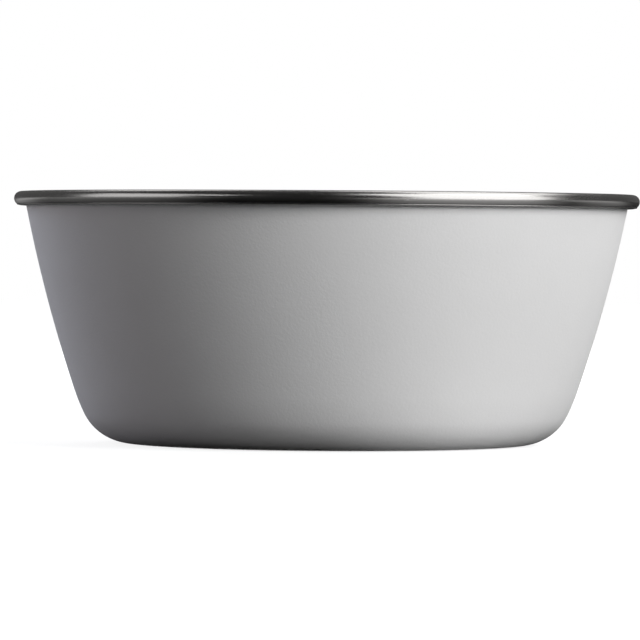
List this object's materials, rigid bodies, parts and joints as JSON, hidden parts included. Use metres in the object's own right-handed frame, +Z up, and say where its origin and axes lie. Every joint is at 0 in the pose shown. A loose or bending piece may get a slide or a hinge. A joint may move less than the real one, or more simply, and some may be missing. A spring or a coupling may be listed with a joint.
{
  "type": "insulated bowl with lid",
  "caption": "Double-walled vacuum-insulated steel bowl with tapered coated wall, polished rolled rim and an inset plug lid with folding bail and steam vent.",
  "frame": {"origin": "on the bowl's axis, at the face it stands on", "axes": "+Z up along the bowl's axis, +X along the bail's pivots, +Y towards the folded bail"},
  "size_m": [0.155, 0.155, 0.0621],
  "materials": {
    "coated_shell": "satin white powder coat",
    "bare_steel": "brushed inside, polished on the rolled rim",
    "copper_foil": "bright copper foil",
    "getter_pill": "sintered metal",
    "clip_steel": "bare spring steel",
    "solder_glass": "opaque dark solder glass",
    "cover_steel": "fine brushed",
    "lid_plastic": "fine matt moulding",
    "lid_foam": "rigid foam",
    "pan_plastic": "matt moulding",
    "gasket_silicone": "matt silicone",
    "bail_steel": "polished wire",
    "vent_silicone": "matt silicone"
  },
  "bodies": {
    "bowl": {"outer_shell": "coated_shell", "inner_liner": "bare_steel", "heat_foil": "copper_foil", "getter": "getter_pill", "getter_clip": "clip_steel", "seal_bead": "solder_glass", "base_cover": "cover_steel"},
    "lid": {"lid_cover": "lid_plastic", "lid_core": "lid_foam", "lid_pan": "pan_plastic", "lid_gasket": "gasket_silicone"},
    "bail": {"lid_bail": "bail_steel"},
    "vent": {"vent_plug": "vent_silicone"}
  },
  "joints": [
    {"name": "lid_lift", "type": "slide", "parent": "bowl", "child": "lid", "axis": [0, 0, 1], "range_m": [0, 0.1]},
    {"name": "bail_fold", "type": "hinge", "parent": "lid", "child": "bail", "pos_m": [0, 0, 0.0567], "axis": [1, 0, 0], "range_deg": [0, 180]},
    {"name": "vent_lift", "type": "slide", "parent": "lid", "child": "vent", "axis": [0, 0, 1], "range_m": [0, 0.0045]}
  ]
}
